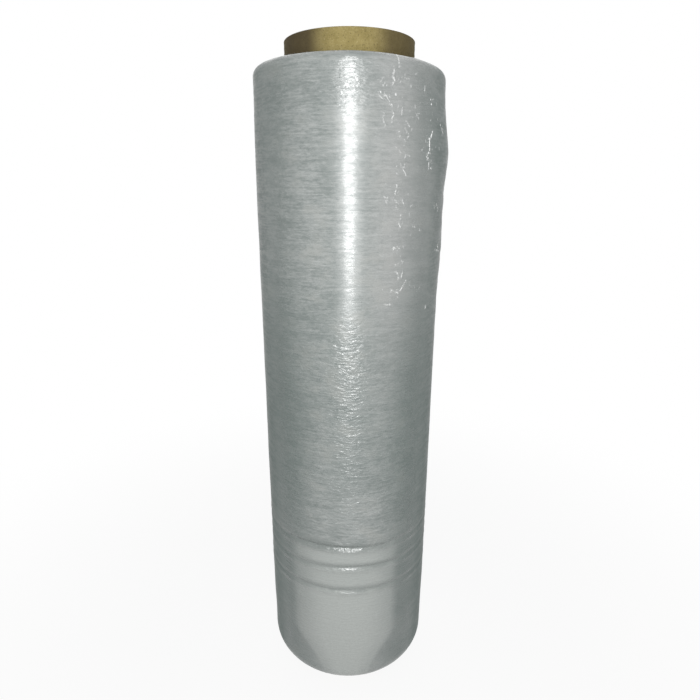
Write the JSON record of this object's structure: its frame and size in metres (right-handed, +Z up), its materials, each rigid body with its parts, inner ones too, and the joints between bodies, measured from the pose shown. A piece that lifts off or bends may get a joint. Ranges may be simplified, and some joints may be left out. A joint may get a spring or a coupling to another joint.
{
  "type": "stretch wrap roll",
  "caption": "Hand roll of clear stretch film with a loose end and three creases, wound on a long cardboard core that stands out at both ends.",
  "frame": {"origin": "centre of the core's lower rim, on which the roll stands", "axes": "+Z up along the roll's axis; the picture's camera is on the -Y side, and the loose end of the film is fullest towards +X"},
  "size_m": [0.1314, 0.129, 0.4892],
  "materials": {
    "core": "matt wound kraft board, dark olive brown with a fine speckle",
    "film": "clear film wound to a glossy, milky grey green, with fine streaks round it"
  },
  "bodies": {
    "root": {"core_tube": "core", "film_roll": "film"}
  },
  "joints": []
}
